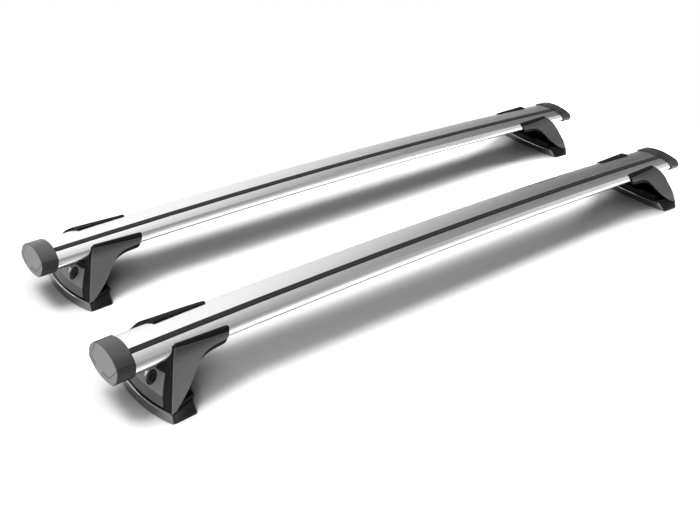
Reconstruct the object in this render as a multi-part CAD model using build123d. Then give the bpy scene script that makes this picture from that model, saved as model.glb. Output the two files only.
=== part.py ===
from build123d import *
import math
import os

# A pair of roof crossbars: two arched wing bars side by side, each on two splayed feet.
# Millimetres. X runs along the bars, Y across them, Z up. The origin is on the floor, in the
# middle of the pair. The front bar is the one at -Y.

# Pair
BAR_SPACING = 292.0
BAR_STAGGER = 14.0

# Bar extrusion
BAR_LENGTH = 1200.0
BAR_WIDTH = 80.0
BAR_THICKNESS = 26.8
NOSE_DEPTH = 14.2
NOSE_RADIUS = 8.8
BAR_WALL = 2.0
ARCH_RISE = 12.2
CREST_HEIGHT = 90.8

# Slot along the top of the bar, and the webs inside it
SLOT_OFFSET = -13.0
SLOT_OPENING = 10.0
SLOT_CHAMBER = 20.0
SLOT_LIP = 2.4
SLOT_CHAMBER_DEPTH = 7.0
WEB = 1.8
REAR_WEB_PLACE = 14.0
BOSS_RADIUS = 4.4
SCREW_HOLE_RADIUS = 2.1
BOSS_DEPTH = 19.5

# Rubber strip in the slot
STRIP_PROUD = 0.4
STRIP_GAP = 0.1
STRIP_FLANGE = 2.4

# End caps and their lids
CAP_SLEEVE = 15.3
CAP_REACH = 10.4
CAP_PROUD = 2.6
CAP_SLANT = 24.0
CAP_FIT = 0.1
CAP_EDGE = 1.6
LID_SKIN = 1.3
LID_FACE = 2.2
LID_GAP = 0.5
PLUG_LENGTH = 16.0
PLUG_SIZE = 9.0
CAP_SCREW_HEAD_RADIUS = 3.6
CAP_SCREW_HEAD = 2.4
CAP_SCREW_LENGTH = 18.0
CAP_SCREW_RADIUS = 1.9
SEAT_GAP = 0.1

# Lid outline across the cap, as seen from its end: Y and depth under the crown
LID_REAR = 30.0
LID_FRONT = -36.0
LID_SHOULDER_DEPTH = 4.5
LID_SIDE_REAR = 33.0
LID_SIDE_FRONT = -28.0
LID_SIDE_DEPTH = 16.5
LID_SHELF_REAR = 24.0
LID_SHELF_FRONT = -21.0
LID_SHELF_DEPTH = 21.0
LID_TAB_REAR = 15.8
LID_TAB_FRONT = -6.0

# Foot: the middle of its lips lies this far in from the end of the bar
FOOT_INSET = 116.0
LIP_LENGTH = 79.5
PAD_HEIGHT = 13.6
TOE_REACH = 76.0
SHOULDER_REACH = 52.8
REACH_CURVE = 1.35
TOE_HALF_WIDTH = 86.5
WIDTH_CURVE = 1.5
PLAN_RADIUS = 200.0
CURL_REACH = 46.5
RIM_REACH = 38.5

# Widths of a foot by the bar's edges: how far its sides stand outside them
SHOULDER_SPREAD = 15.0
LIP_SPREAD = 3.8
CURL_SPREAD = 6.0
CURL_INNER_SPREAD = 2.4
RIM_SPREAD = -4.5
RIM_INNER_SPREAD = -7.5
FRONT_LIP_COVER = 8.0
REAR_LIP_COVER = 14.0

# Heights of a foot by the bar: how far they lie under the top of the arch
SHOULDER_DROP = 24.8
CURL_DROP = 16.8
RIM_DROP = 8.8
FRONT_LIP_DROP_OUTER = 10.6
FRONT_LIP_DROP_INNER = 11.8
REAR_LIP_DROP_OUTER = 10.4
REAR_LIP_DROP_INNER = 9.0
COVER_TOP_DROP = 39.3

# Details of the lips and the skirts
SKIRT_DROP_OUTER = 2.5
FRONT_SKIRT_DROP_INNER = 5.0
REAR_SKIRT_DROP_INNER = 7.0
LIP_END_RAKE = 0.5
LIP_END_LOW = -33.0
SKIRT_WALL = 1.8
SKIRT_GAP = 0.1
BAR_CLEARANCE = 0.3

# Foot frame
FRAME_RECESS = 1.5
FRAME_END_INSET = 1.0
FRAME_END_STEP = 0.5
FRAME_WALL = 3.0
BASE_PLATE = 4.0
SADDLE_THICKNESS = 7.0
RAIL_PLACE = 33.0
RAIL_WIDTH = 4.0
RAIL_HEIGHT = 5.0
RAIL_HALF_LENGTH = 60.0
RAIL_BLOCK_LENGTH = 34.0
RAIL_BLOCK_HEIGHT = 3.5
RIB_PLACES = (-52.0, 44.0)
RIB_THICKNESS = 2.6
RIB_REACH = 41.0

# Base pad
PAD_TOE = 75.0
PAD_HALF_WIDTH = 88.0
PAD_INNER = 37.5
PAD_INNER_HALF_WIDTH = 86.0
PAD_INNER_BOW = 6.0
PAD_TOP_MARGIN = 0.8
PAD_TOP_INNER = 35.0
PAD_CORNER_RADIUS = 5.0
PAD_RIM_RADIUS = 2.6

# Outer cover, the prongs that guide it, and its lock
COVER_WALL = 2.6
COVER_BACK_GAP = 1.0
COVER_EDGE_GAP = 0.5
COVER_BOTTOM = 15.4
COVER_HALF_WIDTH_TOP = 47.0
COVER_HALF_WIDTH_BOTTOM = 66.0
COVER_CREASE = 28.0
COVER_CREASE_STEP = 0.9
PRONG_PLACE = 34.0
PRONG_HEIGHT = 23.0
PRONG_WIDTH = 7.0
PRONG_THICKNESS = 3.0
PRONG_LENGTH = 11.0
PRONG_FIT = 0.1
LOCK_REACH = 74.5
LOCK_PLACE = -31.0
LOCK_DROP = 11.5
LOCK_TILT = 30.0
LOCK_RADIUS = 7.0
LOCK_FIT = 0.08
LOCK_PROUD = 0.9
LOCK_DEPTH = 11.4
KEYWAY_WIDTH = 1.6
KEYWAY_LENGTH = 8.0
KEYWAY_DEPTH = 5.0
TONGUE_LENGTH = 24.0
TONGUE_WIDTH = 6.0
TONGUE_THICKNESS = 2.4
TONGUE_GAP = 0.8

# Clamp under the bar
LINER_THICKNESS = 1.3
LINER_INNER = 22.0
LINER_OUTER = 64.0
LINER_SIDE_MARGIN = 3.2
SHOE_PLACE = 43.0
SHOE_LENGTH = 22.0
SHOE_HALF_WIDTH = 12.0
SHOE_THICKNESS = 3.2
SHOE_GAP = 0.2
BOLT_RADIUS = 4.0
BOLT_HEAD_RADIUS = 6.5
BOLT_HEAD_HEIGHT = 7.0
BOLT_SOCKET_WIDTH = 6.0
BOLT_SOCKET_DEPTH = 4.0
BOLT_FREE_LENGTH = 3.0

# Holes for the screws that fix a foot to a roof
ROOF_HOLE_RADIUS = 3.3
ROOF_HOLE_PLACE = 58.0
ROOF_HOLE_SPACING = 56.0

# Long enough to pass right through anything here
THROUGH = 400.0

# Values that follow from the sizes above
FOOT_STATION = BAR_LENGTH / 2 - FOOT_INSET
ARCH_RADIUS = ((BAR_LENGTH / 2) ** 2 + ARCH_RISE**2) / (2 * ARCH_RISE)
ARCH_AXIS = Axis((0, 0, CREST_HEIGHT - ARCH_RADIUS), (0, 1, 0))
LIP_HALF = LIP_LENGTH / 2
LIP_HALF_WIDTH = BAR_WIDTH / 2 + LIP_SPREAD
SHOULDER_HALF_WIDTH = BAR_WIDTH / 2 + SHOULDER_SPREAD
CURL_HALF_WIDTH = BAR_WIDTH / 2 + CURL_SPREAD
CURL_INNER_HALF_WIDTH = BAR_WIDTH / 2 + CURL_INNER_SPREAD
RIM_HALF_WIDTH = BAR_WIDTH / 2 + RIM_SPREAD
RIM_INNER_HALF_WIDTH = BAR_WIDTH / 2 + RIM_INNER_SPREAD
SHOULDER_HEIGHT = CREST_HEIGHT - SHOULDER_DROP
CURL_HEIGHT = CREST_HEIGHT - CURL_DROP
RIM_HEIGHT = CREST_HEIGHT - RIM_DROP
COVER_TOP = CREST_HEIGHT - COVER_TOP_DROP
LOCK_HEIGHT = COVER_TOP - LOCK_DROP
NOSE_REACH = BAR_WIDTH / 2 - NOSE_RADIUS
UNDER_DEPTH = BAR_THICKNESS - NOSE_DEPTH
CROWN_RADIUS = (NOSE_REACH**2 + NOSE_DEPTH**2 - NOSE_RADIUS**2) / (2 * (NOSE_DEPTH - NOSE_RADIUS))
BELLY_RADIUS = (NOSE_REACH**2 + UNDER_DEPTH**2 - NOSE_RADIUS**2) / (2 * (UNDER_DEPTH - NOSE_RADIUS))
SLOT_TOP = math.sqrt(CROWN_RADIUS**2 - SLOT_OFFSET**2) - CROWN_RADIUS
CHAMBER_TOP = SLOT_TOP - SLOT_LIP
CHAMBER_BOTTOM = CHAMBER_TOP - SLOT_CHAMBER_DEPTH
CAP_LEAN = math.tan(math.radians(CAP_SLANT))
STRIP_LENGTH = BAR_LENGTH - 2 * (CAP_SLEEVE + (NOSE_DEPTH + STRIP_PROUD) * CAP_LEAN + SEAT_GAP)


def block(x, y, z):
    """A box between two limits on each axis."""
    size = (x[1] - x[0], y[1] - y[0], z[1] - z[0])
    return Pos(x[0], y[0], z[0]) * Box(*size, align=(Align.MIN, Align.MIN, Align.MIN))


def wing(grow=0.0):
    """Section of the bar in Y and Z, with its crown at the origin, or one larger by grow."""
    radius = NOSE_RADIUS + grow
    up = CROWN_RADIUS - NOSE_RADIUS
    down = BELLY_RADIUS - NOSE_RADIUS
    top_y = NOSE_REACH + radius * NOSE_REACH / up
    top_z = -NOSE_DEPTH + radius * (CROWN_RADIUS - NOSE_DEPTH) / up
    low_y = NOSE_REACH + radius * NOSE_REACH / down
    low_z = -NOSE_DEPTH - radius * (BELLY_RADIUS - UNDER_DEPTH) / down
    nose_y = NOSE_REACH + radius
    crown = ThreePointArc((-top_y, top_z), (0, grow), (top_y, top_z))
    rear_nose = ThreePointArc((top_y, top_z), (nose_y, -NOSE_DEPTH), (low_y, low_z))
    belly = ThreePointArc((low_y, low_z), (0, -BAR_THICKNESS - grow), (-low_y, low_z))
    front_nose = ThreePointArc((-low_y, low_z), (-nose_y, -NOSE_DEPTH), (-top_y, top_z))
    return make_face([crown, rear_nose, belly, front_nose])


def at_crest(section):
    """Stand a flat section up across the bar, with its crown at the top of the arch."""
    return Pos(0, 0, CREST_HEIGHT) * (Plane.YZ * section)


def arched(section, length):
    """Run a section along the arch, half its length to each side of the middle."""
    turn = math.degrees(2 * math.asin(length / 2 / ARCH_RADIUS))
    start = at_crest(section).rotate(ARCH_AXIS, -turn / 2)
    return revolve(start, axis=ARCH_AXIS, revolution_arc=turn)


def to_bar_end(shape):
    """Carry a shape that was made at the crest along the arch to the right end of the bar."""
    turn = math.degrees(math.asin(BAR_LENGTH / 2 / ARCH_RADIUS))
    return shape.rotate(ARCH_AXIS, turn)


def strip_of(y, z):
    """A flat rectangle in the section plane between two limits on each axis."""
    middle = ((y[0] + y[1]) / 2, (z[0] + z[1]) / 2)
    return Pos(*middle) * Rectangle(y[1] - y[0], z[1] - z[0])


def bar_face():
    """The whole extrusion section: shell, slot chamber, webs and screw bosses."""
    chamber_half = SLOT_CHAMBER / 2
    channel_y = (SLOT_OFFSET - chamber_half - WEB, SLOT_OFFSET + chamber_half + WEB)
    channel = strip_of(channel_y, (CHAMBER_BOTTOM - WEB, 0))
    slot_web_y = (SLOT_OFFSET - WEB / 2, SLOT_OFFSET + WEB / 2)
    slot_web = strip_of(slot_web_y, (-BAR_THICKNESS, CHAMBER_BOTTOM))
    rear_web_y = (REAR_WEB_PLACE - WEB / 2, REAR_WEB_PLACE + WEB / 2)
    rear_web = strip_of(rear_web_y, (-BAR_THICKNESS, 0))
    hollow = wing(-BAR_WALL) - channel - slot_web - rear_web
    for place in (SLOT_OFFSET, REAR_WEB_PLACE):
        hollow -= Pos(place, -BOSS_DEPTH) * Circle(BOSS_RADIUS)
    chamber_y = (SLOT_OFFSET - chamber_half, SLOT_OFFSET + chamber_half)
    chamber = strip_of(chamber_y, (CHAMBER_BOTTOM, CHAMBER_TOP))
    opening_y = (SLOT_OFFSET - SLOT_OPENING / 2, SLOT_OFFSET + SLOT_OPENING / 2)
    opening = strip_of(opening_y, (CHAMBER_TOP - 1, 1))
    face = wing() - hollow - chamber - opening
    for place in (SLOT_OFFSET, REAR_WEB_PLACE):
        face -= Pos(place, -BOSS_DEPTH) * Circle(SCREW_HOLE_RADIUS)
    return face


def strip_face():
    """Section of the rubber strip: a head that fills the slot and a flange under its lips."""
    half = SLOT_OPENING / 2 - STRIP_GAP
    head = strip_of((SLOT_OFFSET - half, SLOT_OFFSET + half), (CHAMBER_BOTTOM, SLOT_TOP + STRIP_PROUD))
    half = SLOT_CHAMBER / 2 - STRIP_GAP
    flange_top = CHAMBER_TOP - STRIP_GAP
    flange = strip_of((SLOT_OFFSET - half, SLOT_OFFSET + half), (flange_top - STRIP_FLANGE, flange_top))
    return head + flange


def cap_block(grow, set_back, sleeve):
    """A wing-shaped block at the bar's end, between the cap's slanting face and its sleeve's edge."""
    solid = extrude(Plane.YZ.offset(-THROUGH / 4) * wing(grow), amount=THROUGH / 2)
    wide = (-THROUGH / 2, THROUGH / 2)
    tilt = Rot(0, -CAP_SLANT, 0)
    solid -= Pos(CAP_REACH - set_back, 0, -NOSE_DEPTH) * tilt * block((0, THROUGH), wide, wide)
    return solid - Pos(-sleeve, 0, -NOSE_DEPTH) * tilt * block((-THROUGH, 0), wide, wide)


def lid_zone(grow):
    """Prism along X that holds the lid, larger by grow on every side."""
    points = [
        (LID_REAR, BAR_THICKNESS),
        (LID_REAR, -LID_SHOULDER_DEPTH),
        (LID_SIDE_REAR, -LID_SIDE_DEPTH),
        (LID_SHELF_REAR, -LID_SHELF_DEPTH),
        (LID_TAB_REAR, -LID_SHELF_DEPTH),
        (LID_TAB_REAR, -2 * BAR_THICKNESS),
        (LID_TAB_FRONT, -2 * BAR_THICKNESS),
        (LID_TAB_FRONT, -LID_SHELF_DEPTH),
        (LID_SHELF_FRONT, -LID_SHELF_DEPTH),
        (LID_SIDE_FRONT, -LID_SIDE_DEPTH),
        (LID_FRONT, -LID_SHOULDER_DEPTH),
        (LID_FRONT, BAR_THICKNESS),
    ]
    outline = make_face(Polyline(*points, close=True))
    if grow:
        outline = offset(outline, amount=grow, kind=Kind.INTERSECTION)
    return Plane.YZ.offset(-THROUGH / 4) * outline


def make_caps():
    """One end cap, its lid and its two screws, at the right end of the bar."""
    outer = cap_block(CAP_PROUD, 0, CAP_SLEEVE)
    face_edge = outer.faces().sort_by(Axis.X)[-1].edges()
    outer = fillet(face_edge, CAP_EDGE)
    core = cap_block(CAP_PROUD - LID_SKIN - CAP_FIT, LID_FACE + CAP_FIT, CAP_SLEEVE)
    lid_bed = cap_block(CAP_PROUD - LID_SKIN, LID_FACE, CAP_SLEEVE + 1)
    lid = (outer - lid_bed) & extrude(lid_zone(0), amount=THROUGH / 2)
    body = core + (outer - extrude(lid_zone(LID_GAP), amount=THROUGH / 2))
    body -= extrude(Plane.YZ.offset(-THROUGH / 4) * wing(CAP_FIT), amount=THROUGH / 4 + SEAT_GAP)
    plug_x = (-PLUG_LENGTH, SEAT_GAP + 0.5)
    plug_z = (-NOSE_DEPTH - PLUG_SIZE / 2, -NOSE_DEPTH + PLUG_SIZE / 2)
    for side in (-1, 1):
        middle = side * (NOSE_REACH - 1)
        body += block(plug_x, (middle - PLUG_SIZE / 2, middle + PLUG_SIZE / 2), plug_z)
    screws = None
    head_seat = CAP_REACH - LID_FACE - CAP_FIT + (BOSS_DEPTH - NOSE_DEPTH) * CAP_LEAN
    head_seat -= CAP_SCREW_HEAD + (CAP_SCREW_HEAD_RADIUS + 1) * CAP_LEAN
    for place in (SLOT_OFFSET, REAR_WEB_PLACE):
        line = Pos(head_seat, place, -BOSS_DEPTH) * Rot(0, 90, 0)
        pocket = line * Cylinder(
            CAP_SCREW_HEAD_RADIUS + CAP_FIT, THROUGH / 8, align=(Align.CENTER, Align.CENTER, Align.MIN)
        )
        passage = line * Cylinder(CAP_SCREW_RADIUS + CAP_FIT, THROUGH / 4)
        body -= pocket & lid_bed
        body -= passage & lid_bed
        head = line * Cylinder(
            CAP_SCREW_HEAD_RADIUS, CAP_SCREW_HEAD, align=(Align.CENTER, Align.CENTER, Align.MIN)
        )
        shank = line * Cylinder(
            CAP_SCREW_RADIUS, CAP_SCREW_LENGTH + head_seat, align=(Align.CENTER, Align.CENTER, Align.MAX)
        )
        screw = head + shank
        screws = screw if screws is None else screws + screw
    return body, lid, screws


def reach_at(height):
    """How far a foot's outer corners stand outboard of its lips' middle, at a height."""
    return TOE_REACH - (TOE_REACH - SHOULDER_REACH) * (height / SHOULDER_HEIGHT) ** REACH_CURVE


def half_width_at(height):
    """Half the width of a foot between its outer corners, at a height."""
    return TOE_HALF_WIDTH - (TOE_HALF_WIDTH - SHOULDER_HALF_WIDTH) * (height / SHOULDER_HEIGHT) ** WIDTH_CURVE


def foot_outline(height, sizes, insets):
    """Level section of a foot: an arched outer edge and two sides that close in inboard."""
    reach, half_width, inner_half_width = sizes
    side_inset, outer_inset, inner_inset = insets
    slope = (half_width - inner_half_width) / (reach + LIP_HALF)
    outer = reach - outer_inset
    corner = half_width - side_inset - slope * outer_inset
    inner = inner_inset - LIP_HALF
    inner_corner = inner_half_width - side_inset + slope * inner_inset
    bulge = half_width**2 / (2 * PLAN_RADIUS)
    outer_edge = ThreePointArc((outer, -corner), (outer + bulge, 0), (outer, corner))
    rest = Polyline((outer, corner), (inner, inner_corner), (inner, -inner_corner), (outer, -corner))
    return Pos(FOOT_STATION, 0, height) * make_face([outer_edge, *rest.edges()])


def foot_form(side_inset=0.0, outer_inset=0.0, inner_inset=0.0):
    """The swelling form of a whole foot, from its pad to its lips, or one that lies inside it."""
    insets = (side_inset, outer_inset, inner_inset)
    sections = []
    for share in (0, 0.25, 0.5, 0.75, 1):
        height = PAD_HEIGHT + share * (SHOULDER_HEIGHT - PAD_HEIGHT)
        sizes = (reach_at(height), half_width_at(height), LIP_HALF_WIDTH)
        sections.append(foot_outline(height, sizes, insets))
    curl = (CURL_REACH, CURL_HALF_WIDTH, CURL_INNER_HALF_WIDTH)
    sections.append(foot_outline(CURL_HEIGHT, curl, insets))
    rim = (RIM_REACH, RIM_HALF_WIDTH, RIM_INNER_HALF_WIDTH)
    sections.append(foot_outline(RIM_HEIGHT, rim, insets))
    return loft(sections)


def trimmed_away(low_edge, rake_shift):
    """What is cut off the inner side of a foot, under a curved edge and behind raked lip ends.

    The edge's points give X from the foot's middle, and the share of the way up to its shoulder.
    """
    rise = SHOULDER_HEIGHT - PAD_HEIGHT
    edge = Spline(*[(FOOT_STATION + x, PAD_HEIGHT + share * rise) for x, share in low_edge])
    start = edge @ 0
    end = edge @ 1
    high = Vector(FOOT_STATION + LIP_END_LOW + rake_shift - LIP_END_RAKE * BAR_SPACING, start.Y + BAR_SPACING)
    rest = Polyline(end, (high.X, end.Y), high, start)
    outline = make_face([edge, *rest.edges()])
    return extrude(Plane.XZ.offset(-THROUGH / 2) * outline, amount=THROUGH)


def above_lips(outer_drop, front_drop, rear_drop):
    """Everything over a foot's lips, less a drop at their outer and their inner ends."""
    far = THROUGH / 2
    space = Part()
    front = (-1, FRONT_LIP_DROP_INNER + front_drop, FRONT_LIP_DROP_OUTER + outer_drop)
    rear = (1, REAR_LIP_DROP_INNER + rear_drop, REAR_LIP_DROP_OUTER + outer_drop)
    for side, low_drop, high_drop in (front, rear):
        low = CREST_HEIGHT - low_drop
        high = CREST_HEIGHT - high_drop
        slope = (high - low) / LIP_LENGTH
        points = [(-far, low - slope * (far - LIP_HALF)), (far, high + slope * (far - LIP_HALF))]
        points += [(far, THROUGH), (-far, THROUGH)]
        outline = make_face(Polyline(*[(FOOT_STATION + x, z) for x, z in points], close=True))
        space += extrude(Plane.XZ * outline, amount=-side * THROUGH)
    return space


def skirt_cutaway():
    """What is cut off the inner side of the skirts, below and behind their lips."""
    low_edge = [(LIP_END_LOW, 1.02), (-22, 1.008), (4, 0.943), (21, 0.695)]
    low_edge += [(36, 0.4), (47, 0.227), (60, 0.065), (76, -0.07)]
    return trimmed_away(low_edge, 0)


def frame_cutaway():
    """What is cut off the inner side of the frame, above its base plate and behind its lips."""
    floor = BASE_PLATE / (SHOULDER_HEIGHT - PAD_HEIGHT)
    low_edge = [(LIP_END_LOW + FRAME_END_STEP, 0.981), (-30, 0.905), (-22, 0.878), (0, 0.866), (16, 0.761)]
    low_edge += [(27, 0.618), (39, 0.389), (50, 0.218), (64, floor)]
    return trimmed_away(low_edge, FRAME_END_STEP)


def cover_prism(grow):
    """Prism along X that holds the outer cover, larger by grow on every side."""
    slope = (COVER_HALF_WIDTH_BOTTOM - COVER_HALF_WIDTH_TOP) / (COVER_TOP - COVER_BOTTOM)
    low = COVER_BOTTOM - grow
    high = COVER_TOP + grow
    low_half = COVER_HALF_WIDTH_BOTTOM + grow + slope * grow
    high_half = COVER_HALF_WIDTH_TOP + grow - slope * grow
    outline = Polyline((-low_half, low), (low_half, low), (high_half, high), (-high_half, high), close=True)
    return extrude(Plane.YZ.offset(FOOT_STATION + LIP_HALF / 2) * make_face(outline), amount=THROUGH / 2)


def lock_frame():
    """Place of the lock: its Z runs out along the lock's axis and its X down the cover."""
    return Pos(FOOT_STATION + LOCK_REACH, LOCK_PLACE, LOCK_HEIGHT) * Rot(0, 90 - LOCK_TILT, 0)


def make_lock():
    """Lock barrel with a keyway, and the tongue on its inner end."""
    top_down = (Align.CENTER, Align.CENTER, Align.MAX)
    barrel = Pos(0, 0, LOCK_PROUD) * Cylinder(LOCK_RADIUS, LOCK_PROUD + LOCK_DEPTH, align=top_down)
    keyway = Pos(0, 0, LOCK_PROUD) * Box(KEYWAY_LENGTH, KEYWAY_WIDTH, KEYWAY_DEPTH, align=top_down)
    tongue = Pos(0, 0, -LOCK_DEPTH + TONGUE_THICKNESS) * Box(
        TONGUE_LENGTH, TONGUE_WIDTH, TONGUE_THICKNESS, align=top_down
    )
    return lock_frame() * (barrel - keyway + tongue)


def make_prongs(fit):
    """Two flat prongs that run straight in from the outer cover, larger by fit on every side."""
    inner = FOOT_STATION + reach_at(PRONG_HEIGHT) + (half_width_at(PRONG_HEIGHT) ** 2 - PRONG_PLACE**2) / (
        2 * PLAN_RADIUS
    )
    inner -= PRONG_LENGTH + fit
    prongs = Part()
    for side in (-1, 1):
        middle = side * PRONG_PLACE
        prong_y = (middle - PRONG_WIDTH / 2 - fit, middle + PRONG_WIDTH / 2 + fit)
        prong_z = (PRONG_HEIGHT - PRONG_THICKNESS / 2 - fit, PRONG_HEIGHT + PRONG_THICKNESS / 2 + fit)
        prongs += block((inner, THROUGH * 2), prong_y, prong_z)
    return prongs


def make_cover(form, bed):
    """Outer cover: a curved shell with a crease across it, two prongs and a hole for the lock."""
    cover = (form - bed) & cover_prism(0)
    below_crease = block((0, THROUGH * 2), (-THROUGH, THROUGH), (-THROUGH, COVER_CREASE))
    stepped = foot_form(-COVER_WALL, COVER_CREASE_STEP)
    cover -= (form - stepped) & below_crease
    cover += make_prongs(0) & stepped
    return cover - lock_frame() * Cylinder(LOCK_RADIUS + LOCK_FIT, THROUGH / 8)


def pad_outline(height, toe, half_width, inner, inner_half_width):
    """Level section of the base pad, bowed along its outer and its inner edge."""
    bulge = half_width**2 / (2 * PLAN_RADIUS)
    toe_edge = ThreePointArc((toe, -half_width), (toe + bulge, 0), (toe, half_width))
    rear_end = Line((toe, half_width), (inner, inner_half_width))
    inner_edge = ThreePointArc((inner, inner_half_width), (inner - PAD_INNER_BOW, 0), (inner, -inner_half_width))
    front_end = Line((inner, -inner_half_width), (toe, -half_width))
    return Pos(FOOT_STATION, 0, height) * make_face([toe_edge, rear_end, inner_edge, front_end])


def side_line(height, reach):
    """Half width of the foot's side at a height and a reach."""
    toe = reach_at(height)
    slope = (half_width_at(height) - LIP_HALF_WIDTH) / (toe + LIP_HALF)
    return half_width_at(height) - slope * (toe - reach)


def make_pad():
    """Rubber pad that the foot stands on, wider at the floor than at its top."""
    top_toe = reach_at(PAD_HEIGHT) + PAD_TOP_MARGIN
    top_half = half_width_at(PAD_HEIGHT) + PAD_TOP_MARGIN
    top_inner_half = side_line(PAD_HEIGHT, PAD_TOP_INNER) + PAD_TOP_MARGIN
    floor = pad_outline(0, PAD_TOE, PAD_HALF_WIDTH, PAD_INNER, PAD_INNER_HALF_WIDTH)
    top = pad_outline(PAD_HEIGHT, top_toe, top_half, PAD_TOP_INNER, top_inner_half)
    pad = loft([floor, top], ruled=True)
    upright = pad.edges().filter_by(lambda edge: edge.bounding_box().size.Z > PAD_HEIGHT / 2)
    pad = fillet(upright, PAD_CORNER_RADIUS)
    rim = pad.faces().sort_by(Axis.Z)[-1].edges()
    pad = fillet(rim, PAD_RIM_RADIUS)
    return pad - roof_holes()


def roof_holes():
    """The two holes through a foot's base, for the screws that fix it to a roof."""
    holes = Part()
    for side in (-1, 1):
        place = Pos(FOOT_STATION + ROOF_HOLE_PLACE, side * ROOF_HOLE_SPACING / 2, 0)
        holes += place * Cylinder(ROOF_HOLE_RADIUS, THROUGH / 8)
    return holes


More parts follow.
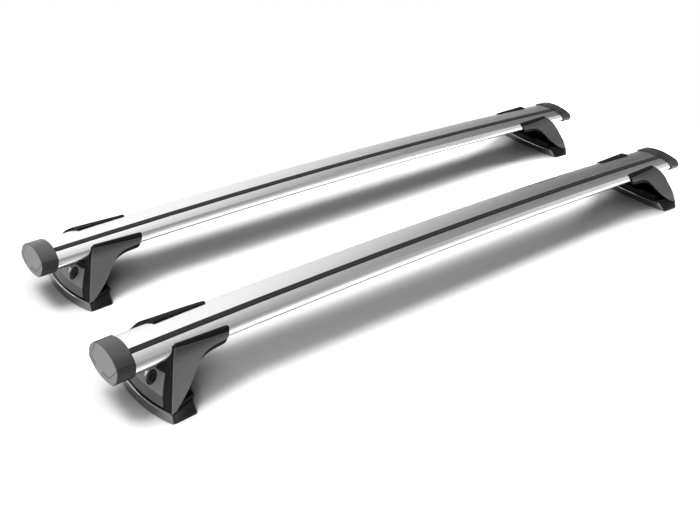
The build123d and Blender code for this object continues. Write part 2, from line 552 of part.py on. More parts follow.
def make_foot():
    """Every piece of the right foot, under a bar whose crest is over the origin."""
    form = foot_form()
    cover_bed = foot_form(-COVER_WALL, COVER_WALL)
    bar_space = arched(wing(BAR_CLEARANCE), BAR_LENGTH + THROUGH)
    mouth_y = (FRONT_LIP_COVER - BAR_WIDTH / 2, BAR_WIDTH / 2 - REAR_LIP_COVER)
    mouth = block((0, THROUGH * 2), mouth_y, (CREST_HEIGHT - ARCH_RISE - NOSE_DEPTH, THROUGH))

    # Skirts: thin side plates whose upper edges curl over the bar's edges
    plates = form - foot_form(SKIRT_WALL, -BAR_WIDTH, -BAR_WIDTH)
    plates -= above_lips(SKIRT_DROP_OUTER, FRONT_SKIRT_DROP_INNER, REAR_SKIRT_DROP_INNER)
    plates -= skirt_cutaway()
    plates -= bar_space
    plates -= mouth
    sides = plates.solids().sort_by(Axis.Y)

    # Frame: one moulding with a base plate, walls, a saddle and hooks on both edges of the bar
    frame = foot_form(SKIRT_WALL + SKIRT_GAP, FRAME_RECESS, FRAME_END_INSET)
    frame -= above_lips(0, 0, 0)
    inner_side = SKIRT_WALL + SKIRT_GAP + FRAME_WALL
    outer_side = COVER_WALL + COVER_BACK_GAP + FRAME_WALL
    hollow = foot_form(inner_side, outer_side, -BAR_WIDTH)
    saddle_low = CREST_HEIGHT - ARCH_RISE - BAR_THICKNESS - SADDLE_THICKNESS
    hollow &= block((0, THROUGH * 2), (-THROUGH, THROUGH), (PAD_HEIGHT + BASE_PLATE, saddle_low))
    for middle in RIB_PLACES:
        rib_y = (middle - RIB_THICKNESS / 2, middle + RIB_THICKNESS / 2)
        hollow -= block((FOOT_STATION + RIB_REACH, THROUGH * 2), rib_y, (0, THROUGH))
    frame -= hollow
    frame -= frame_cutaway()
    recess = (form - foot_form(-COVER_WALL, COVER_WALL + COVER_BACK_GAP)) & cover_prism(COVER_EDGE_GAP)
    frame -= recess
    rail_x = (FOOT_STATION + RAIL_PLACE, FOOT_STATION + RAIL_PLACE + RAIL_WIDTH)
    rail_z = (PAD_HEIGHT, PAD_HEIGHT + BASE_PLATE + RAIL_HEIGHT)
    frame += block(rail_x, (-RAIL_HALF_LENGTH, RAIL_HALF_LENGTH), rail_z)
    block_z = (PAD_HEIGHT, rail_z[1] + RAIL_BLOCK_HEIGHT)
    for start in (-RAIL_HALF_LENGTH, RAIL_HALF_LENGTH - RAIL_BLOCK_LENGTH):
        frame += block(rail_x, (start, start + RAIL_BLOCK_LENGTH), block_z)
    inboard = block((0, FOOT_STATION + RAIL_PLACE), (-THROUGH, THROUGH), (0, PAD_HEIGHT + BASE_PLATE))
    frame -= inboard

    # Sockets for the cover's prongs, and a slot that lets the lock's tongue through while upright
    frame -= make_prongs(PRONG_FIT)
    tilt = math.radians(LOCK_TILT)
    slot_middle = LOCK_HEIGHT - (LOCK_DEPTH - TONGUE_THICKNESS / 2) * math.sin(tilt)
    slot_half = (TONGUE_LENGTH * math.cos(tilt) + TONGUE_THICKNESS * math.sin(tilt)) / 2 + TONGUE_GAP
    slot_y = (LOCK_PLACE - LOCK_RADIUS - TONGUE_GAP, LOCK_PLACE + LOCK_RADIUS + TONGUE_GAP)
    slot_x = FOOT_STATION + LOCK_REACH - LOCK_DEPTH - TONGUE_LENGTH / 4 - TONGUE_GAP
    frame -= block((slot_x, THROUGH * 2), slot_y, (slot_middle - slot_half, slot_middle + slot_half))

    # Clamp under the bar
    liner_x = (FOOT_STATION + LINER_INNER, FOOT_STATION + LINER_OUTER)
    liner_half = NOSE_REACH - LINER_SIDE_MARGIN
    liner_box = block(liner_x, (-liner_half, liner_half), (0, CREST_HEIGHT - NOSE_DEPTH))
    liner_space = arched(wing(BAR_CLEARANCE + LINER_THICKNESS), BAR_LENGTH + THROUGH) & liner_box
    frame -= bar_space
    frame -= mouth
    frame -= liner_space
    liner = liner_space - bar_space
    bolt_x = FOOT_STATION + SHOE_PLACE
    shoe_low = saddle_low + SADDLE_THICKNESS - SHOE_THICKNESS
    shoe_x = (bolt_x - SHOE_LENGTH / 2, bolt_x + SHOE_LENGTH / 2)
    shoe_y = (-SHOE_HALF_WIDTH, SHOE_HALF_WIDTH)
    shoe = block(shoe_x, shoe_y, (shoe_low, CREST_HEIGHT - NOSE_DEPTH)) - bar_space
    pocket_x = (shoe_x[0] - SHOE_GAP, shoe_x[1] + SHOE_GAP)
    pocket_y = (shoe_y[0] - SHOE_GAP, shoe_y[1] + SHOE_GAP)
    pocket = block(pocket_x, pocket_y, (shoe_low - SHOE_GAP, CREST_HEIGHT))
    frame -= pocket
    liner -= pocket
    bottom_up = (Align.CENTER, Align.CENTER, Align.MIN)
    head_low = saddle_low - BOLT_FREE_LENGTH - BOLT_HEAD_HEIGHT
    bolt_place = Pos(bolt_x, 0, head_low)
    bolt = bolt_place * Cylinder(BOLT_HEAD_RADIUS, BOLT_HEAD_HEIGHT, align=bottom_up)
    bolt += bolt_place * Cylinder(BOLT_RADIUS, shoe_low - head_low, align=bottom_up)
    socket = RegularPolygon(BOLT_SOCKET_WIDTH / 2, 6, major_radius=False)
    bolt -= bolt_place * extrude(socket, amount=BOLT_SOCKET_DEPTH)
    frame -= Pos(bolt_x, 0, head_low) * Cylinder(BOLT_RADIUS + SHOE_GAP / 2, THROUGH / 4, align=bottom_up)
    frame -= roof_holes()

    return {
        "frame": frame,
        "front_skirt": sides[0],
        "rear_skirt": sides[-1],
        "outer_cover": make_cover(form, cover_bed),
        "lock_barrel": make_lock(),
        "base_pad": make_pad(),
        "bar_liner": liner,
        "clamp_shoe": shoe,
        "clamp_bolt": bolt,
    }


def save(shape, name):
    """Write one piece to the parts folder."""
    export_step(shape, f"parts/{name}.step")


def main():
    os.makedirs("parts", exist_ok=True)
    bar = arched(bar_face(), BAR_LENGTH)
    strip = arched(strip_face(), STRIP_LENGTH)
    cap, lid, screws = [to_bar_end(Pos(0, 0, CREST_HEIGHT) * shape) for shape in make_caps()]
    foot = make_foot()
    bars = {"front": (-BAR_STAGGER / 2, -BAR_SPACING / 2), "rear": (BAR_STAGGER / 2, BAR_SPACING / 2)}
    for bar_name, (x, y) in bars.items():
        place = Pos(x, y, 0)
        save(place * bar, f"{bar_name}_bar")
        save(place * strip, f"{bar_name}_slot_strip")
        save(place * Compound([*screws.solids(), *mirror(screws, Plane.YZ).solids()]), f"{bar_name}_cap_screws")
        for side in ("left", "right"):
            pieces = {"end_cap": cap, "cap_lid": lid}
            pieces.update({f"foot_{piece}": shape for piece, shape in foot.items()})
            for piece, shape in pieces.items():
                shape = mirror(shape, Plane.YZ) if side == "left" else shape
                save(place * shape, f"{bar_name}_{side}_{piece}")


main()
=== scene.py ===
import math

import bmesh
import bpy
from mathutils import Matrix, Vector


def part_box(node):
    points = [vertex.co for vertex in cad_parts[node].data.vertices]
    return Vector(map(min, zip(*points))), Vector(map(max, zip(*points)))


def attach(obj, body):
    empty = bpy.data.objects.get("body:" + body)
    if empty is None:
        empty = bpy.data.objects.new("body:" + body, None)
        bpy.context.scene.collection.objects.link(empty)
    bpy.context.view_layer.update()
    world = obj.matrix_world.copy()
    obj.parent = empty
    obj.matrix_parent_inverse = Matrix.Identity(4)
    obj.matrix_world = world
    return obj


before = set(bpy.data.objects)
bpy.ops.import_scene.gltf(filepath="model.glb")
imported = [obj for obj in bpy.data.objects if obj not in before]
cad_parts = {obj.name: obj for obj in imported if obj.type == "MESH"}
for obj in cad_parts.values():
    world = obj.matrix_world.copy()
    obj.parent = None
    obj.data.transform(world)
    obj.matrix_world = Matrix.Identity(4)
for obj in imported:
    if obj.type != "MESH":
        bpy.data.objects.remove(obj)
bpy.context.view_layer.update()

# Camera, as the photograph was taken: place in metres, angles in radians, lens in millimetres
CAMERA_PLACE = (-0.90614, -0.97825, 0.74424)
CAMERA_YAW = 0.69119
CAMERA_PITCH = 0.54619
CAMERA_ROLL = 0.0612
CAMERA_LENS = 42.655
SENSOR_WIDTH = 36.0

# Light: a weak even sky, a large lamp high up on the left, low ones in front on the left and at
# the right, and a weak one behind on the left
SKY_LEVEL = 0.14
KEY = dict(place=(-1.30, 0.75, 2.9), target=(0, 0, 0), size=(1.2, 1.2), power=64)
FILL = dict(place=(-1.45, -1.35, 0.45), target=(-0.3, 0, 0.05), size=(0.9, 0.6), power=17)
SIDE = dict(place=(1.55, 0.25, 0.75), target=(0, 0, 0), size=(0.6, 0.6), power=30)
RIM = dict(place=(-1.9, 1.5, 0.45), target=(-0.3, 0, 0.05), size=(1.0, 0.4), power=7)

# Floor: its own colour, the one that the camera and the gloss see, how far from the middle that
# one fades to plain white, and how near a piece the floor that it stands on gets painted contact
# shadow
FLOOR_SIZE = 14.0
FLOOR_COLOUR = 0.50
FLOOR_SHOWN = 1.42
FLOOR_FADE = (0.66, 1.0)
PAINTED_SHADOW_REACH = 0.085

# What gloss sees of the room: white on the left, and on the right a grey that deepens with height.
# The way to the right, where along it the grey begins and where it is whole, its level at its
# darkest, and how steeply up that is, as the Z of a direction
ROOM_RIGHT = (0.8, -0.6)
ROOM_EDGE = (-0.35, 0.15)
ROOM_GREY = 0.33
ROOM_GREY_UP = 0.95

# Tall card that the tops of the bars reflect: where it stands, how far it reaches to each side and
# up, how bright it is at places from its left to its right, and how it brightens higher up
CARD_BEARING = math.radians(48)
CARD_DISTANCE = 3.0
CARD_LEFT = -3.2
CARD_RIGHT = 7.0
CARD_HEIGHT = 6.5
CARD_TONES = (
    (-2.4, 1.10),
    (-1.8, 1.00),
    (-1.5, 0.93),
    (-1.2, 0.83),
    (-0.9, 0.72),
    (-0.6, 0.60),
    (-0.3, 0.48),
    (0.0, 0.38),
    (0.3, 0.28),
    (0.6, 0.20),
    (1.0, 0.14),
    (1.8, 0.15),
    (3.2, 0.45),
    (6.5, 1.00),
)
CARD_RISE = 0.05
CARD_RISE_START = 0.9

# Grain of the mouldings, the slow unevenness of their tone, and the lines drawn along the bar:
# scales in cells or clouds to the metre, and the depth of the grain in metres
CLOUD_SCALE = 38.0
WEAR_SCALE = 210.0
GRAIN_SCALE = 5200.0
GRAIN_DEPTH = 0.00004
DRAWN_LINES = (5, 1100, 1100)
DRAWN_DEPTH = 0.000012

# Where painted light and shade begin, between the two numbers of a pair: the Z of the normal under
# the bar, the heights of the cover's crease and of the skirt's rim, and the X of the normal on the
# cap's end
BAR_UNDERSIDE = (-0.32, -0.58)
COVER_CREASE = (0.0268, 0.0284)
SKIRT_RIM = (0.064, 0.078)
CAP_END = (0.45, 0.8)

# The painted tones there: shade under the bar, below the cover's crease, along the skirt's rim and
# on the cap's sleeve, and those of the painted shade along the cap's edges and seams and of the
# painted highlight along the cover's edges
BAR_UNDERSIDE_SHADE = 0.06
COVER_LOW_SHADE = 0.050
COVER_EDGE_HIGHLIGHT = 0.30
SKIRT_RIM_SHADE = 0.030
CAP_SLEEVE_SHADE = 0.014
CAP_EDGE_AND_SEAM_SHADE = 0.008

# Radii that the normals are rounded by along the edges
BAR_EDGE = 0.0004
MOULDED_EDGE = 0.0005
COVER_EDGE = 0.0006
CAP_EDGE = 0.0011
PAD_EDGE = 0.0040
STEEL_EDGE = 0.0004
MARK_EDGE = 0.0001

# Mark beside each lock, a small plain triangle that points down, and the black oval surround of
# the lock, a ring that paints the shade in the gap round it. Sizes are across and up, as seen from
# the bar's end, and from the middle of the lock
LOCK_FACE_DROP = 0.0065
MARK_BESIDE = 0.0132
MARK_ABOVE = -0.0008
MARK_HALF = 0.0040
MARK_LONG = 0.0074
MARK_SLANT = 0.0018
MARK_ROWS = 6
SURROUND_INNER = (0.0074, 0.0066)
SURROUND_OUTER = (0.0082, 0.0094)
SURROUND_STEPS = 48
TRIM_PROUD = 0.00025
WELD_DISTANCE = 0.00001
WELL_OUTSIDE = 2.0

FEET = [(bar, side) for bar in ("front", "rear") for side in ("left", "right")]


class Value:
    """A number that varies over a surface. Arithmetic on it adds Math nodes."""

    def __init__(self, tree, socket):
        self.tree = tree
        self.socket = socket

    def math(self, operation, *operands, clamp=False):
        """The result of a Math node on operands that are Values or plain numbers."""
        node = self.tree.nodes.new("ShaderNodeMath")
        node.operation = operation
        node.use_clamp = clamp
        for place, value in zip(node.inputs, operands):
            if isinstance(value, Value):
                self.tree.links.new(value.socket, place)
            else:
                place.default_value = value
        return Value(self.tree, node.outputs[0])

    def __add__(self, other):
        return self.math("ADD", self, other)

    __radd__ = __add__

    def __sub__(self, other):
        return self.math("SUBTRACT", self, other)

    def __rsub__(self, other):
        return self.math("SUBTRACT", other, self)

    def __mul__(self, other):
        return self.math("MULTIPLY", self, other)

    __rmul__ = __mul__

    def __abs__(self):
        return self.math("ABSOLUTE", self)

    def at_least(self, other):
        return self.math("MAXIMUM", self, other)

    def below(self, limit):
        """1 where the value is under a limit and 0 elsewhere."""
        return self.math("LESS_THAN", self, limit)

    def step(self, low, high):
        """0 below low, 1 above high, and a smooth ramp between; high may be the lower one."""
        node = self.tree.nodes.new("ShaderNodeMapRange")
        node.interpolation_type = "SMOOTHSTEP"
        self.tree.links.new(self.socket, node.inputs["Value"])
        flip = high < low
        node.inputs["From Min"].default_value = min(low, high)
        node.inputs["From Max"].default_value = max(low, high)
        node.inputs["To Min"].default_value = 1.0 if flip else 0.0
        node.inputs["To Max"].default_value = 0.0 if flip else 1.0
        return Value(self.tree, node.outputs[0])


class Nodes:
    """A node tree that is being built."""

    def __init__(self, owner):
        owner.use_nodes = True
        self.tree = owner.node_tree
        self.tree.nodes.clear()

    def node(self, kind, settings=None, **sockets):
        """A node of a kind, with its settings made first and then its sockets set or linked."""
        node = self.tree.nodes.new(kind)
        for name, value in (settings or {}).items():
            setattr(node, name, value)
        for name, value in sockets.items():
            self.put(node.inputs[name.replace("_", " ")], value)
        return node

    def put(self, socket, value):
        if isinstance(value, Value):
            value = value.socket
        if isinstance(value, bpy.types.NodeSocket):
            self.tree.links.new(value, socket)
        else:
            socket.default_value = value

    def value(self, socket):
        return Value(self.tree, socket)

    def blend(self, share, first, second):
        """First colour where share is 0 and second where it is 1."""
        node = self.node("ShaderNodeMix", {"data_type": "RGBA"})
        self.put(node.inputs[0], share)
        self.put(node.inputs[6], first)
        self.put(node.inputs[7], second)
        return node.outputs[2]

    def seen_directly(self):
        """1 for what the camera sees, also by way of gloss or glass, and 0 for what only lights,
        which is all that comes after a matt surface."""
        ray = self.node("ShaderNodeLightPath").outputs
        seen = self.value(ray["Is Camera Ray"]).at_least(self.value(ray["Is Glossy Ray"]))
        seen = seen.at_least(self.value(ray["Is Transmission Ray"]))
        return seen * self.value(ray["Diffuse Depth"]).below(0.5)

    def either(self, share, first, second):
        """The first shader where share is 0 and the second where it is 1."""
        node = self.node("ShaderNodeMixShader")
        self.put(node.inputs[0], share)
        self.put(node.inputs[1], first)
        self.put(node.inputs[2], second)
        return node.outputs[0]


class Finish(Nodes):
    """A material of the object. Lengths in it are metres on the object itself."""

    def __init__(self, name):
        self.material = bpy.data.materials.new(name)
        super().__init__(self.material)
        self.shader = self.node("ShaderNodeBsdfPrincipled")
        self.node("ShaderNodeOutputMaterial", Surface=self.shader.outputs[0])
        self.place = self.node("ShaderNodeTexCoord").outputs["Object"]

    def stretched(self, scale):
        """The place on the object, multiplied along each axis."""
        node = self.node("ShaderNodeVectorMath", {"operation": "MULTIPLY"})
        self.put(node.inputs[0], self.place)
        self.put(node.inputs[1], scale)
        return node.outputs[0]

    def axis(self, letter):
        """The place along one axis, in metres."""
        return self.value(self.node("ShaderNodeSeparateXYZ", Vector=self.place).outputs[letter])

    def slope(self, letter):
        """One part of the surface's normal, from -1 to 1."""
        facing = self.node("ShaderNodeNewGeometry").outputs["Normal"]
        return self.value(self.node("ShaderNodeSeparateXYZ", Vector=facing).outputs[letter])

    def noise(self, scale, detail, roughness=0.5, stretch=(1, 1, 1)):
        settings = {"Scale": scale, "Detail": detail, "Roughness": roughness}
        node = self.node("ShaderNodeTexNoise", Vector=self.stretched(stretch), **settings)
        return self.value(node.outputs[0])

    def cloud(self):
        """The slow unevenness of a moulding's tone."""
        return self.noise(CLOUD_SCALE, detail=4.0, roughness=0.6)

    def cells(self, scale):
        node = self.node("ShaderNodeTexVoronoi", Vector=self.place, Scale=scale)
        return self.value(node.outputs["Distance"])

    def soft_edge(self, radius):
        """Normals that round the part's edges by a radius in metres."""
        return self.node("ShaderNodeBevel", {"samples": 4}, Radius=radius).outputs[0]

    def edge(self, rounded):
        """How far rounded normals lean from the surface's own: above 0 only along its edges."""
        plain = self.node("ShaderNodeNewGeometry").outputs["Normal"]
        node = self.node("ShaderNodeVectorMath", {"operation": "DOT_PRODUCT"})
        self.put(node.inputs[0], plain)
        self.put(node.inputs[1], rounded)
        return 1.0 - self.value(node.outputs["Value"])

    def bump(self, height, depth, normal):
        """A bump of a depth in metres on other normals."""
        settings = {"Height": height, "Distance": depth, "Strength": 1.0, "Normal": normal}
        return self.node("ShaderNodeBump", **settings).outputs[0]

    def grained(self, rounded):
        """The fine pebbled grain of a moulding, on rounded normals."""
        return self.bump(self.cells(GRAIN_SCALE), GRAIN_DEPTH, rounded)

    def set(self, **sockets):
        for name, value in sockets.items():
            self.put(self.shader.inputs[name.replace("_", " ")], value)
        return self.material


def grey(level, warmth=0.0):
    """A nearly neutral colour, a little warm or cool."""
    return (level * (1 + warmth), level, level * (1 - warmth), 1.0)


def anodised_bar():
    """Satin anodised aluminium with fine lines drawn along the bar, and painted shade under it."""
    f = Finish("anodised_bar")
    lines = f.noise(scale=1.0, detail=3.0, roughness=0.6, stretch=DRAWN_LINES)
    cloud = f.noise(scale=9.0, detail=3.0)
    tone = f.blend(lines * 0.6 + cloud * 0.4, grey(0.86, 0.002), grey(0.95, 0.004))
    # Painted shade: the bar is darkened where its normal points down.
    tone = f.blend(f.slope("Z").step(*BAR_UNDERSIDE), tone, grey(BAR_UNDERSIDE_SHADE, 0.004))
    normal = f.bump(lines, DRAWN_DEPTH, f.soft_edge(BAR_EDGE))
    rough = 0.21 + lines * 0.07 + cloud * 0.03
    return f.set(Base_Color=tone, Metallic=1.0, Roughness=rough, Normal=normal)


def moulded(name, low, high, rough, warmth=0.0, gloss=0.5):
    """Moulded plastic or rubber with a fine pebbled grain, and a tone that wanders between two."""
    f = Finish(name)
    cloud = f.cloud()
    wear = f.noise(WEAR_SCALE, detail=3.0, roughness=0.55)
    tone = f.blend(cloud * 0.7 + wear * 0.3, grey(low, warmth), grey(high, warmth))
    rough = rough + (cloud - 0.5) * 0.14 + (wear - 0.5) * 0.06
    f.set(Specular_IOR_Level=gloss)
    return f.set(Base_Color=tone, Roughness=rough, Normal=f.grained(f.soft_edge(MOULDED_EDGE)))


def cover_grey():
    """Grey moulding, with painted shade below the crease that crosses it and a painted highlight
    along its edges.
    """
    f = Finish("cover_grey")
    cloud = f.cloud()
    plain = f.blend(cloud, grey(0.125, 0.01), grey(0.155, 0.01))
    # Painted shade: the cover is darker below its crease.
    tone = f.blend(f.axis("Z").step(*COVER_CREASE), grey(COVER_LOW_SHADE, 0.02), plain)
    rounded = f.soft_edge(COVER_EDGE)
    # Painted highlight: the cover is lighter along its edges.
    tone = f.blend(f.edge(rounded).step(0.02, 0.2) * 0.5, tone, grey(COVER_EDGE_HIGHLIGHT, 0.01))
    rough = 0.40 + (cloud - 0.5) * 0.14
    return f.set(Base_Color=tone, Roughness=rough, Normal=f.grained(rounded))


def skirt_grey():
    """Grey moulding, with painted shade along the rim where it curls over the bar."""
    f = Finish("foot_grey")
    cloud = f.cloud()
    plain = f.blend(cloud, grey(0.105, 0.01), grey(0.125, 0.01))
    # Painted shade: the skirt is darkened along its rim above a height.
    tone = f.blend(f.axis("Z").step(*SKIRT_RIM), plain, grey(SKIRT_RIM_SHADE, 0.01))
    rough = 0.40 + (cloud - 0.5) * 0.14
    return f.set(Base_Color=tone, Roughness=rough, Normal=f.grained(f.soft_edge(MOULDED_EDGE)))


def cap_plastic(name, lit_face_tone):
    """Dark satin plastic, glossier where it faces up, with painted light on its end face, painted
    shade on its sleeve and painted shade along its edges and seams.
    """
    f = Finish(name)
    cloud = f.cloud()
    # Painted light on the end face and painted shade on the sleeve, chosen by the normal's X.
    end = abs(f.slope("X")).step(*CAP_END)
    face = f.blend(cloud, grey(lit_face_tone * 0.9, 0.02), grey(lit_face_tone * 1.1, 0.02))
    tone = f.blend(end, grey(CAP_SLEEVE_SHADE, 0.03), face)
    rounded = f.soft_edge(CAP_EDGE)
    # Painted shade: the cap is darkened along its edges and seams.
    tone = f.blend(f.edge(rounded).step(0.005, 0.06), tone, grey(CAP_EDGE_AND_SEAM_SHADE, 0.02))
    rough = 0.36 + end * 0.14 + (cloud - 0.5) * 0.12
    coat = f.slope("Z").step(0.1, 0.9) * 0.4
    f.set(Specular_IOR_Level=0.35, Coat_IOR=2.0, Coat_Roughness=0.22)
    return f.set(Base_Color=tone, Roughness=rough, Coat_Weight=coat, Normal=f.grained(rounded))


def gloss_rubber():
    """Black pad, its edges rounded and its outer and inner walls polished."""
    f = Finish("pad_rubber")
    cloud = f.noise(scale=60.0, detail=4.0, roughness=0.6)
    tone = f.blend(cloud, grey(0.003), grey(0.006))
    normal = f.bump(cloud, 0.00003, f.soft_edge(PAD_EDGE))
    coat = abs(f.slope("X")).step(0.3, 0.75)
    f.set(Specular_IOR_Level=0.3, Coat_IOR=2.4, Coat_Roughness=0.12)
    return f.set(Base_Color=tone, Roughness=0.18 + cloud * 0.10, Coat_Weight=coat, Normal=normal)


def zinc_steel():
    """Bright plated steel of the fasteners and clamps."""
    f = Finish("zinc_steel")
    cloud = f.noise(scale=160.0, detail=4.0, roughness=0.6)
    tone = f.blend(cloud, grey(0.50, 0.02), grey(0.66, 0.0))
    normal = f.bump(cloud, 0.00002, f.soft_edge(STEEL_EDGE))
    return f.set(Base_Color=tone, Metallic=1.0, Roughness=0.28 + cloud * 0.16, Normal=normal)


def mark_white():
    """White of the small triangles beside the locks."""
    f = Finish("mark_white")
    cloud = f.noise(scale=300.0, detail=3.0, roughness=0.5)
    tone = f.blend(cloud, grey(0.72, 0.005), grey(0.86, 0.005))
    normal = f.bump(cloud, 0.00002, f.soft_edge(MARK_EDGE))
    return f.set(Base_Color=tone, Roughness=0.42 + cloud * 0.1, Normal=normal)


def dress(piece, material):
    """Put one material on a piece."""
    piece.data.materials.clear()
    piece.data.materials.append(material)


def dress_all():
    """Give each node the finish of its kind, which the end of its name tells."""
    bar = anodised_bar()
    skirt = skirt_grey()
    steel = zinc_steel()
    finishes = {
        "front_bar": bar,
        "rear_bar": bar,
        "slot_strip": moulded("strip_rubber", 0.018, 0.030, rough=0.60, warmth=0.05, gloss=0.15),
        # The numbers given to cap_plastic are the painted light of the caps' end faces.
        "end_cap": cap_plastic("cap_plastic", 0.17),
        "cap_lid": cap_plastic("lid_plastic", 0.19),
        "cap_screws": steel,
        "front_skirt": skirt,
        "rear_skirt": skirt,
        "outer_cover": cover_grey(),
        "foot_frame": moulded("foot_black", 0.005, 0.008, rough=0.46, gloss=0.12),
        "base_pad": gloss_rubber(),
        "bar_liner": moulded("liner_rubber", 0.025, 0.035, rough=0.7),
        "lock_barrel": moulded("lock_black", 0.002, 0.004, rough=0.45, gloss=0.05),
        "clamp_shoe": steel,
        "clamp_bolt": steel,
    }
    for name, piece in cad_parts.items():
        dress(piece, next(finishes[ending] for ending in finishes if name.endswith(ending)))


def on_cover(bar, side, y, z):
    """The points just under and just over the cover's surface, beside the middle of its lock."""
    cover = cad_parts[f"{bar}_{side}_foot_outer_cover"]
    low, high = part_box(f"{bar}_{side}_foot_lock_barrel")
    outward = -1 if side == "left" else 1
    middle = (low[1] + high[1]) / 2
    start = (outward * WELL_OUTSIDE, middle + y, high[2] - LOCK_FACE_DROP + z)
    found, point, normal, _ = cover.ray_cast(start, (-outward, 0, 0))
    if not found:
        raise RuntimeError("the trim misses the cover")
    return point - normal * TRIM_PROUD, point + normal * TRIM_PROUD


def finish_trim(mesh, name, bar, side, material):
    """Close a thin piece of trim and let it ride on the cover."""
    bmesh.ops.remove_doubles(mesh, verts=mesh.verts[:], dist=WELD_DISTANCE)
    bmesh.ops.recalc_face_normals(mesh, faces=mesh.faces[:])
    data = bpy.data.meshes.new(name)
    mesh.to_mesh(data)
    mesh.free()
    piece = bpy.data.objects.new(name, data)
    bpy.context.scene.collection.objects.link(piece)
    dress(piece, material)
    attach(piece, f"{bar}_{side}_cover")


def make_mark(bar, side, material):
    """Lay a thin raised triangle on the cover, to the rear of its lock."""
    mesh = bmesh.new()
    rows = []
    for row in range(MARK_ROWS + 1):
        share = row / MARK_ROWS
        z = MARK_ABOVE + MARK_LONG * (0.5 - share)
        half = MARK_HALF * (1 - share)
        places = [MARK_BESIDE + place * half - MARK_SLANT * share for place in (-1, 0, 1)]
        rows.append([[mesh.verts.new(spot) for spot in on_cover(bar, side, y, z)] for y in places])
    for upper, lower in zip(rows, rows[1:]):
        for here, ahead in ((0, 1), (1, 2)):
            mesh.faces.new([upper[here][1], upper[ahead][1], lower[ahead][1], lower[here][1]])
            mesh.faces.new([upper[here][0], lower[here][0], lower[ahead][0], upper[ahead][0]])
        for place in (0, 2):
            mesh.faces.new([upper[place][0], upper[place][1], lower[place][1], lower[place][0]])
    for end in (rows[0], rows[-1]):
        for place in (0, 1):
            mesh.faces.new([end[place][0], end[place + 1][0], end[place + 1][1], end[place][1]])
    finish_trim(mesh, f"{bar}_{side}_lock_mark", bar, side, material)


def make_surround(bar, side, material):
    """Lay a thin raised oval ring on the cover around its lock: a black ring that paints the shade
    in the gap round the lock.
    """
    mesh = bmesh.new()
    loops = []
    for step in range(SURROUND_STEPS):
        angle = math.tau * step / SURROUND_STEPS
        spots = []
        for across, up in (SURROUND_INNER, SURROUND_OUTER):
            spots += on_cover(bar, side, across * math.cos(angle), up * math.sin(angle))
        loops.append([mesh.verts.new(spot) for spot in spots])
    for here, ahead in zip(loops, loops[1:] + loops[:1]):
        for first, second in ((0, 1), (1, 3), (3, 2), (2, 0)):
            mesh.faces.new([here[first], here[second], ahead[second], ahead[first]])
    finish_trim(mesh, f"{bar}_{side}_lock_surround", bar, side, material)


def make_camera():
    """Stand the camera where the photograph was taken."""
    data = bpy.data.cameras.new("camera")
    data.lens = CAMERA_LENS
    data.sensor_width = SENSOR_WIDTH
    camera = bpy.data.objects.new("camera", data)
    bpy.context.scene.collection.objects.link(camera)
    level = math.cos(CAMERA_PITCH)
    heading = Vector((math.sin(CAMERA_YAW), math.cos(CAMERA_YAW), 0))
    ahead = heading * level - Vector((0, 0, math.sin(CAMERA_PITCH)))
    right = Vector((math.cos(CAMERA_YAW), -math.sin(CAMERA_YAW), 0))
    up = right.cross(ahead)
    rolled_right = right * math.cos(CAMERA_ROLL) + up * math.sin(CAMERA_ROLL)
    rolled_up = up * math.cos(CAMERA_ROLL) - right * math.sin(CAMERA_ROLL)
    turn = Matrix((rolled_right, rolled_up, -ahead)).transposed()
    camera.matrix_world = Matrix.Translation(CAMERA_PLACE) @ turn.to_4x4()
    bpy.context.scene.camera = camera


def make_sheet(name, low, high):
    """A flat rectangle in its own X and Y, as a piece of the studio, and its material's nodes."""
    mesh = bpy.data.meshes.new(name)
    corners = (low, (high[0], low[1]), high, (low[0], high[1]))
    mesh.from_pydata([(x, y, 0) for x, y in corners], [], [(0, 1, 2, 3)])
    sheet = bpy.data.objects.new(name, mesh)
    bpy.context.scene.collection.objects.link(sheet)
    material = bpy.data.materials.new(name)
    mesh.materials.append(material)
    return sheet, Nodes(material)


def make_floor():
    """A pale floor that the camera and the gloss see as white where it is fully lit, with painted
    contact shadow near the pieces.
    """
    half = FLOOR_SIZE / 2
    _, nodes = make_sheet("floor", (-half, -half), (half, half))
    own = nodes.node("ShaderNodeBsdfDiffuse", Color=grey(FLOOR_COLOUR)).outputs[0]
    # Painted contact shadow: ambient occlusion darkens the floor's shown colour near the pieces.
    near = nodes.node("ShaderNodeAmbientOcclusion", Distance=PAINTED_SHADOW_REACH).outputs["AO"]
    tone = nodes.blend(near, grey(0.0), grey(FLOOR_SHOWN))
    shown = nodes.node("ShaderNodeBsdfDiffuse", Color=tone).outputs[0]
    white = nodes.node("ShaderNodeEmission", Color=grey(1.0), Strength=1.0).outputs[0]
    place = nodes.node("ShaderNodeTexCoord").outputs["Object"]
    length = nodes.node("ShaderNodeVectorMath", {"operation": "LENGTH"}, Vector=place)
    away = nodes.value(length.outputs["Value"])
    direct = nodes.either(away.step(*FLOOR_FADE), shown, white)
    surface = nodes.either(nodes.seen_directly(), own, direct)
    nodes.node("ShaderNodeOutputMaterial", Surface=surface)


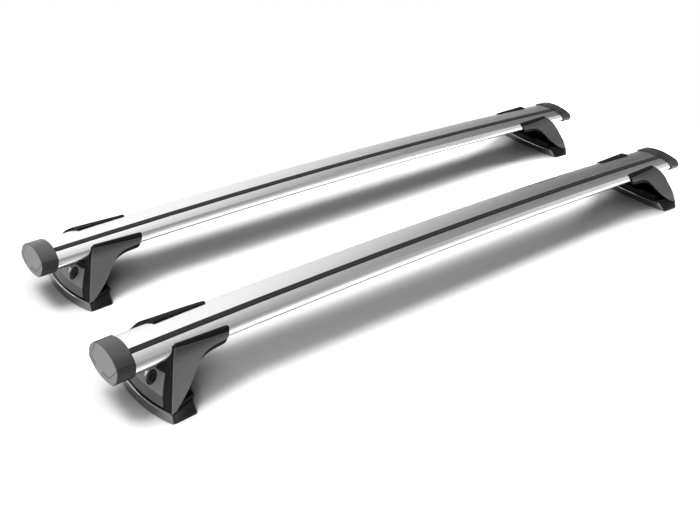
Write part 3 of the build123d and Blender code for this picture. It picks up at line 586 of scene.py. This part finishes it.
def make_card():
    """A tall graded card far behind on the right, which only reflections show."""
    card, nodes = make_sheet("graded_card", (CARD_LEFT, 0), (CARD_RIGHT, CARD_HEIGHT))
    towards = Vector((math.sin(CARD_BEARING), math.cos(CARD_BEARING), 0))
    across = Vector((math.cos(CARD_BEARING), -math.sin(CARD_BEARING), 0))
    turn = Matrix((across, Vector((0, 0, 1)), -towards)).transposed()
    card.matrix_world = Matrix.Translation(towards * CARD_DISTANCE) @ turn.to_4x4()
    card.visible_camera = False
    card.visible_diffuse = False
    card.visible_shadow = False
    place = nodes.node("ShaderNodeTexCoord").outputs["Object"]
    parts = nodes.node("ShaderNodeSeparateXYZ", Vector=place).outputs
    u = nodes.value(parts["X"])
    tone = nodes.value(parts["Y"]) - CARD_RISE_START
    tone = tone.at_least(0.0) * CARD_RISE + CARD_TONES[0][1]
    for (start, low), (end, high) in zip(CARD_TONES, CARD_TONES[1:]):
        tone = tone + u.step(start, end) * (high - low)
    glow = nodes.node("ShaderNodeEmission", Color=grey(1.0), Strength=tone).outputs[0]
    nodes.node("ShaderNodeOutputMaterial", Surface=glow)


def make_sky():
    """White where the camera looks past the floor, and a weak even grey as light. Gloss sees white
    on the left and a grey wall on the right."""
    world = bpy.data.worlds.new("studio")
    bpy.context.scene.world = world
    nodes = Nodes(world)
    bearing = nodes.node("ShaderNodeTexCoord").outputs["Generated"]
    parts = nodes.node("ShaderNodeSeparateXYZ", Vector=bearing).outputs
    x, y, z = (nodes.value(parts[letter]) for letter in "XYZ")
    right = (x * ROOM_RIGHT[0] + y * ROOM_RIGHT[1]).step(*ROOM_EDGE)
    gloss = nodes.value(nodes.node("ShaderNodeLightPath").outputs["Is Glossy Ray"])
    light = nodes.node("ShaderNodeBackground", Color=grey(1.0), Strength=SKY_LEVEL).outputs[0]
    low = 1.0 - z.math("MULTIPLY", z, 1 / ROOM_GREY_UP, clamp=True)
    room = 1.0 - right * gloss * (1.0 - low * low) * (1.0 - ROOM_GREY)
    seen = nodes.node("ShaderNodeBackground", Color=grey(1.0), Strength=room).outputs[0]
    nodes.node("ShaderNodeOutputWorld", Surface=nodes.either(nodes.seen_directly(), light, seen))


def make_lamp(name, place, target, size, power, in_gloss):
    """A flat soft lamp that the camera never sees, and that gloss sees only if asked."""
    data = bpy.data.lights.new(name, "AREA")
    data.shape = "RECTANGLE"
    data.size, data.size_y = size
    data.energy = power
    lamp = bpy.data.objects.new(name, data)
    bpy.context.scene.collection.objects.link(lamp)
    aim = (Vector(target) - Vector(place)).to_track_quat("-Z", "Y")
    lamp.matrix_world = Matrix.Translation(place) @ aim.to_matrix().to_4x4()
    lamp.visible_camera = False
    lamp.visible_glossy = in_gloss


make_camera()
make_floor()
make_sky()
make_card()
make_lamp("key", in_gloss=False, **KEY)
make_lamp("fill", in_gloss=False, **FILL)
make_lamp("side", in_gloss=False, **SIDE)
make_lamp("rim", in_gloss=True, **RIM)
dress_all()
white = mark_white()
# The black of the lock surround is painted shade of the gap round each lock.
black = moulded("lock_gap_shade", 0.002, 0.004, rough=0.45, gloss=0.05)
for bar, side in FEET:
    make_mark(bar, side, white)
    make_surround(bar, side, black)

bpy.context.scene.view_settings.view_transform = "Standard"
